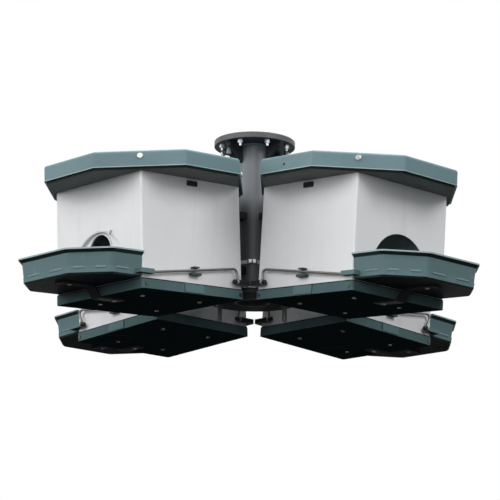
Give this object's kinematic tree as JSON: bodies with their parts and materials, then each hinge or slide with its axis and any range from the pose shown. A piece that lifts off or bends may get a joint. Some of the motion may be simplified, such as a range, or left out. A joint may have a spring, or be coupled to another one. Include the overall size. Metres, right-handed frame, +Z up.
{
  "type": "purple martin birdhouse",
  "caption": "Pole-top martin house: leaning square metal nest boxes round a pole hub, each with an octagonal roof, a tray porch and a port or a round-holed entrance cap.",
  "frame": {"origin": "centre of the pole socket's lower mouth, on the underside of the hub's lower plate", "axes": "+Z up along the pole socket; the front left house stands on -Y, the front right on +X, the rear right on +Y and the rear left on -X"},
  "size_m": [0.896, 0.896, 0.3264],
  "materials": {
    "roof": "grey-teal baked enamel",
    "ceiling_panel": "dark matt board",
    "walls": "white baked enamel with light weathering",
    "floor_pan": "grey-teal baked enamel",
    "porch_tray": "grey-teal moulded plastic",
    "porch_strut": "dark enamel",
    "corner_hooks": "black moulded plastic",
    "rod_clips": "grey-teal moulded plastic",
    "hub_tube": "dark grey enamel",
    "hub_paint": "dark grey enamel",
    "flange_plug": "white moulded plastic",
    "flange_bolts": "plain zinc-plated steel",
    "hanger_bolts": "dull dark steel",
    "band_clamp": "bright steel band",
    "band_screw": "dark steel",
    "bracket_bolts": "plain zinc-plated steel",
    "roof_bolts": "plain zinc-plated steel",
    "rim_screws": "dark steel",
    "floor_bolts": "dull steel",
    "rod_end_caps": "black moulded plastic",
    "rod_wire": "dull steel wire",
    "entrance_cap": "white moulded plastic"
  },
  "bodies": {
    "frame": {"front_left_roof": "roof", "front_left_ceiling_panel": "ceiling_panel", "front_left_walls": "walls", "front_left_floor_pan": "floor_pan", "front_left_porch_tray": "porch_tray", "front_left_porch_strut": "porch_strut", "front_left_corner_hooks": "corner_hooks", "front_left_rod_clips": "rod_clips", "front_right_roof": "roof", "front_right_ceiling_panel": "ceiling_panel", "front_right_walls": "walls", "front_right_floor_pan": "floor_pan", "front_right_porch_tray": "porch_tray", "front_right_porch_strut": "porch_strut", "front_right_corner_hooks": "corner_hooks", "front_right_rod_clips": "rod_clips", "rear_right_roof": "roof", "rear_right_ceiling_panel": "ceiling_panel", "rear_right_walls": "walls", "rear_right_floor_pan": "floor_pan", "rear_right_porch_tray": "porch_tray", "rear_right_porch_strut": "porch_strut", "rear_right_corner_hooks": "corner_hooks", "rear_right_rod_clips": "rod_clips", "rear_left_roof": "roof", "rear_left_ceiling_panel": "ceiling_panel", "rear_left_walls": "walls", "rear_left_floor_pan": "floor_pan", "rear_left_porch_tray": "porch_tray", "rear_left_porch_strut": "porch_strut", "rear_left_corner_hooks": "corner_hooks", "rear_left_rod_clips": "rod_clips", "hub_tube": "hub_tube", "top_flange": "hub_paint", "top_gussets": "hub_paint", "flange_plug": "flange_plug", "top_flange_bolts": "flange_bolts", "lower_flange": "hub_paint", "hanger_bolts": "hanger_bolts", "band_clamp": "band_clamp", "band_screw": "band_screw", "house_brackets": "hub_paint", "bracket_bolts": "bracket_bolts", "roof_bolts": "roof_bolts", "rim_screws": "rim_screws", "floor_bolts": "floor_bolts", "rod_end_caps": "rod_end_caps"},
    "front_left_rod_left": {"front_left_rod_left": "rod_wire"},
    "front_left_rod_right": {"front_left_rod_right": "rod_wire"},
    "front_left_entrance_cap": {"front_left_entrance_cap": "entrance_cap"},
    "front_right_rod_left": {"front_right_rod_left": "rod_wire"},
    "front_right_rod_right": {"front_right_rod_right": "rod_wire"},
    "rear_right_rod_left": {"rear_right_rod_left": "rod_wire"},
    "rear_right_rod_right": {"rear_right_rod_right": "rod_wire"},
    "rear_right_rod_inner": {"rear_right_rod_inner": "rod_wire"},
    "rear_right_entrance_cap": {"rear_right_entrance_cap": "entrance_cap"},
    "rear_left_rod_left": {"rear_left_rod_left": "rod_wire"},
    "rear_left_rod_right": {"rear_left_rod_right": "rod_wire"},
    "rear_left_rod_inner": {"rear_left_rod_inner": "rod_wire"},
    "rear_left_entrance_cap": {"rear_left_entrance_cap": "entrance_cap"}
  },
  "joints": [
    {"name": "front_left_rod_left_swing", "type": "hinge", "parent": "frame", "child": "front_left_rod_left", "pos_m": [0.11168, -0.22753, -0.00778], "axis": [0, 0.998, 0.0628], "range_deg": [0, 180]},
    {"name": "front_left_rod_right_swing", "type": "hinge", "parent": "frame", "child": "front_left_rod_right", "pos_m": [-0.11168, -0.22753, -0.00778], "axis": [0, -0.998, -0.0628], "range_deg": [0, 180]},
    {"name": "front_left_cap_pull", "type": "slide", "parent": "frame", "child": "front_left_entrance_cap", "axis": [0, -0.998, -0.0628], "range_m": [0, 0.04]},
    {"name": "front_right_rod_left_swing", "type": "hinge", "parent": "frame", "child": "front_right_rod_left", "pos_m": [0.22753, 0.11168, -0.00778], "axis": [-0.998, 0, 0.0628], "range_deg": [0, 180]},
    {"name": "front_right_rod_right_swing", "type": "hinge", "parent": "frame", "child": "front_right_rod_right", "pos_m": [0.22753, -0.11168, -0.00778], "axis": [0.998, 0, -0.0628], "range_deg": [0, 180]},
    {"name": "rear_right_rod_left_swing", "type": "hinge", "parent": "frame", "child": "rear_right_rod_left", "pos_m": [-0.11168, 0.22753, -0.00778], "axis": [0, -0.998, 0.0628], "range_deg": [0, 180]},
    {"name": "rear_right_rod_right_swing", "type": "hinge", "parent": "frame", "child": "rear_right_rod_right", "pos_m": [0.11168, 0.22753, -0.00778], "axis": [0, 0.998, -0.0628], "range_deg": [0, 180]},
    {"name": "rear_right_rod_inner_swing", "type": "hinge", "parent": "frame", "child": "rear_right_rod_inner", "pos_m": [0, 0.11607, -0.00077], "axis": [1, 0, 0], "range_deg": [0, 180]},
    {"name": "rear_right_cap_pull", "type": "slide", "parent": "frame", "child": "rear_right_entrance_cap", "axis": [0, 0.998, -0.0628], "range_m": [0, 0.04]},
    {"name": "rear_left_rod_left_swing", "type": "hinge", "parent": "frame", "child": "rear_left_rod_left", "pos_m": [-0.22753, -0.11168, -0.00778], "axis": [0.998, 0, 0.0628], "range_deg": [0, 180]},
    {"name": "rear_left_rod_right_swing", "type": "hinge", "parent": "frame", "child": "rear_left_rod_right", "pos_m": [-0.22753, 0.11168, -0.00778], "axis": [-0.998, 0, -0.0628], "range_deg": [0, 180]},
    {"name": "rear_left_rod_inner_swing", "type": "hinge", "parent": "frame", "child": "rear_left_rod_inner", "pos_m": [-0.11607, 0, -0.00077], "axis": [0, 1, 0], "range_deg": [0, 180]},
    {"name": "rear_left_cap_pull", "type": "slide", "parent": "frame", "child": "rear_left_entrance_cap", "axis": [-0.998, 0, -0.0628], "range_m": [0, 0.04]}
  ]
}
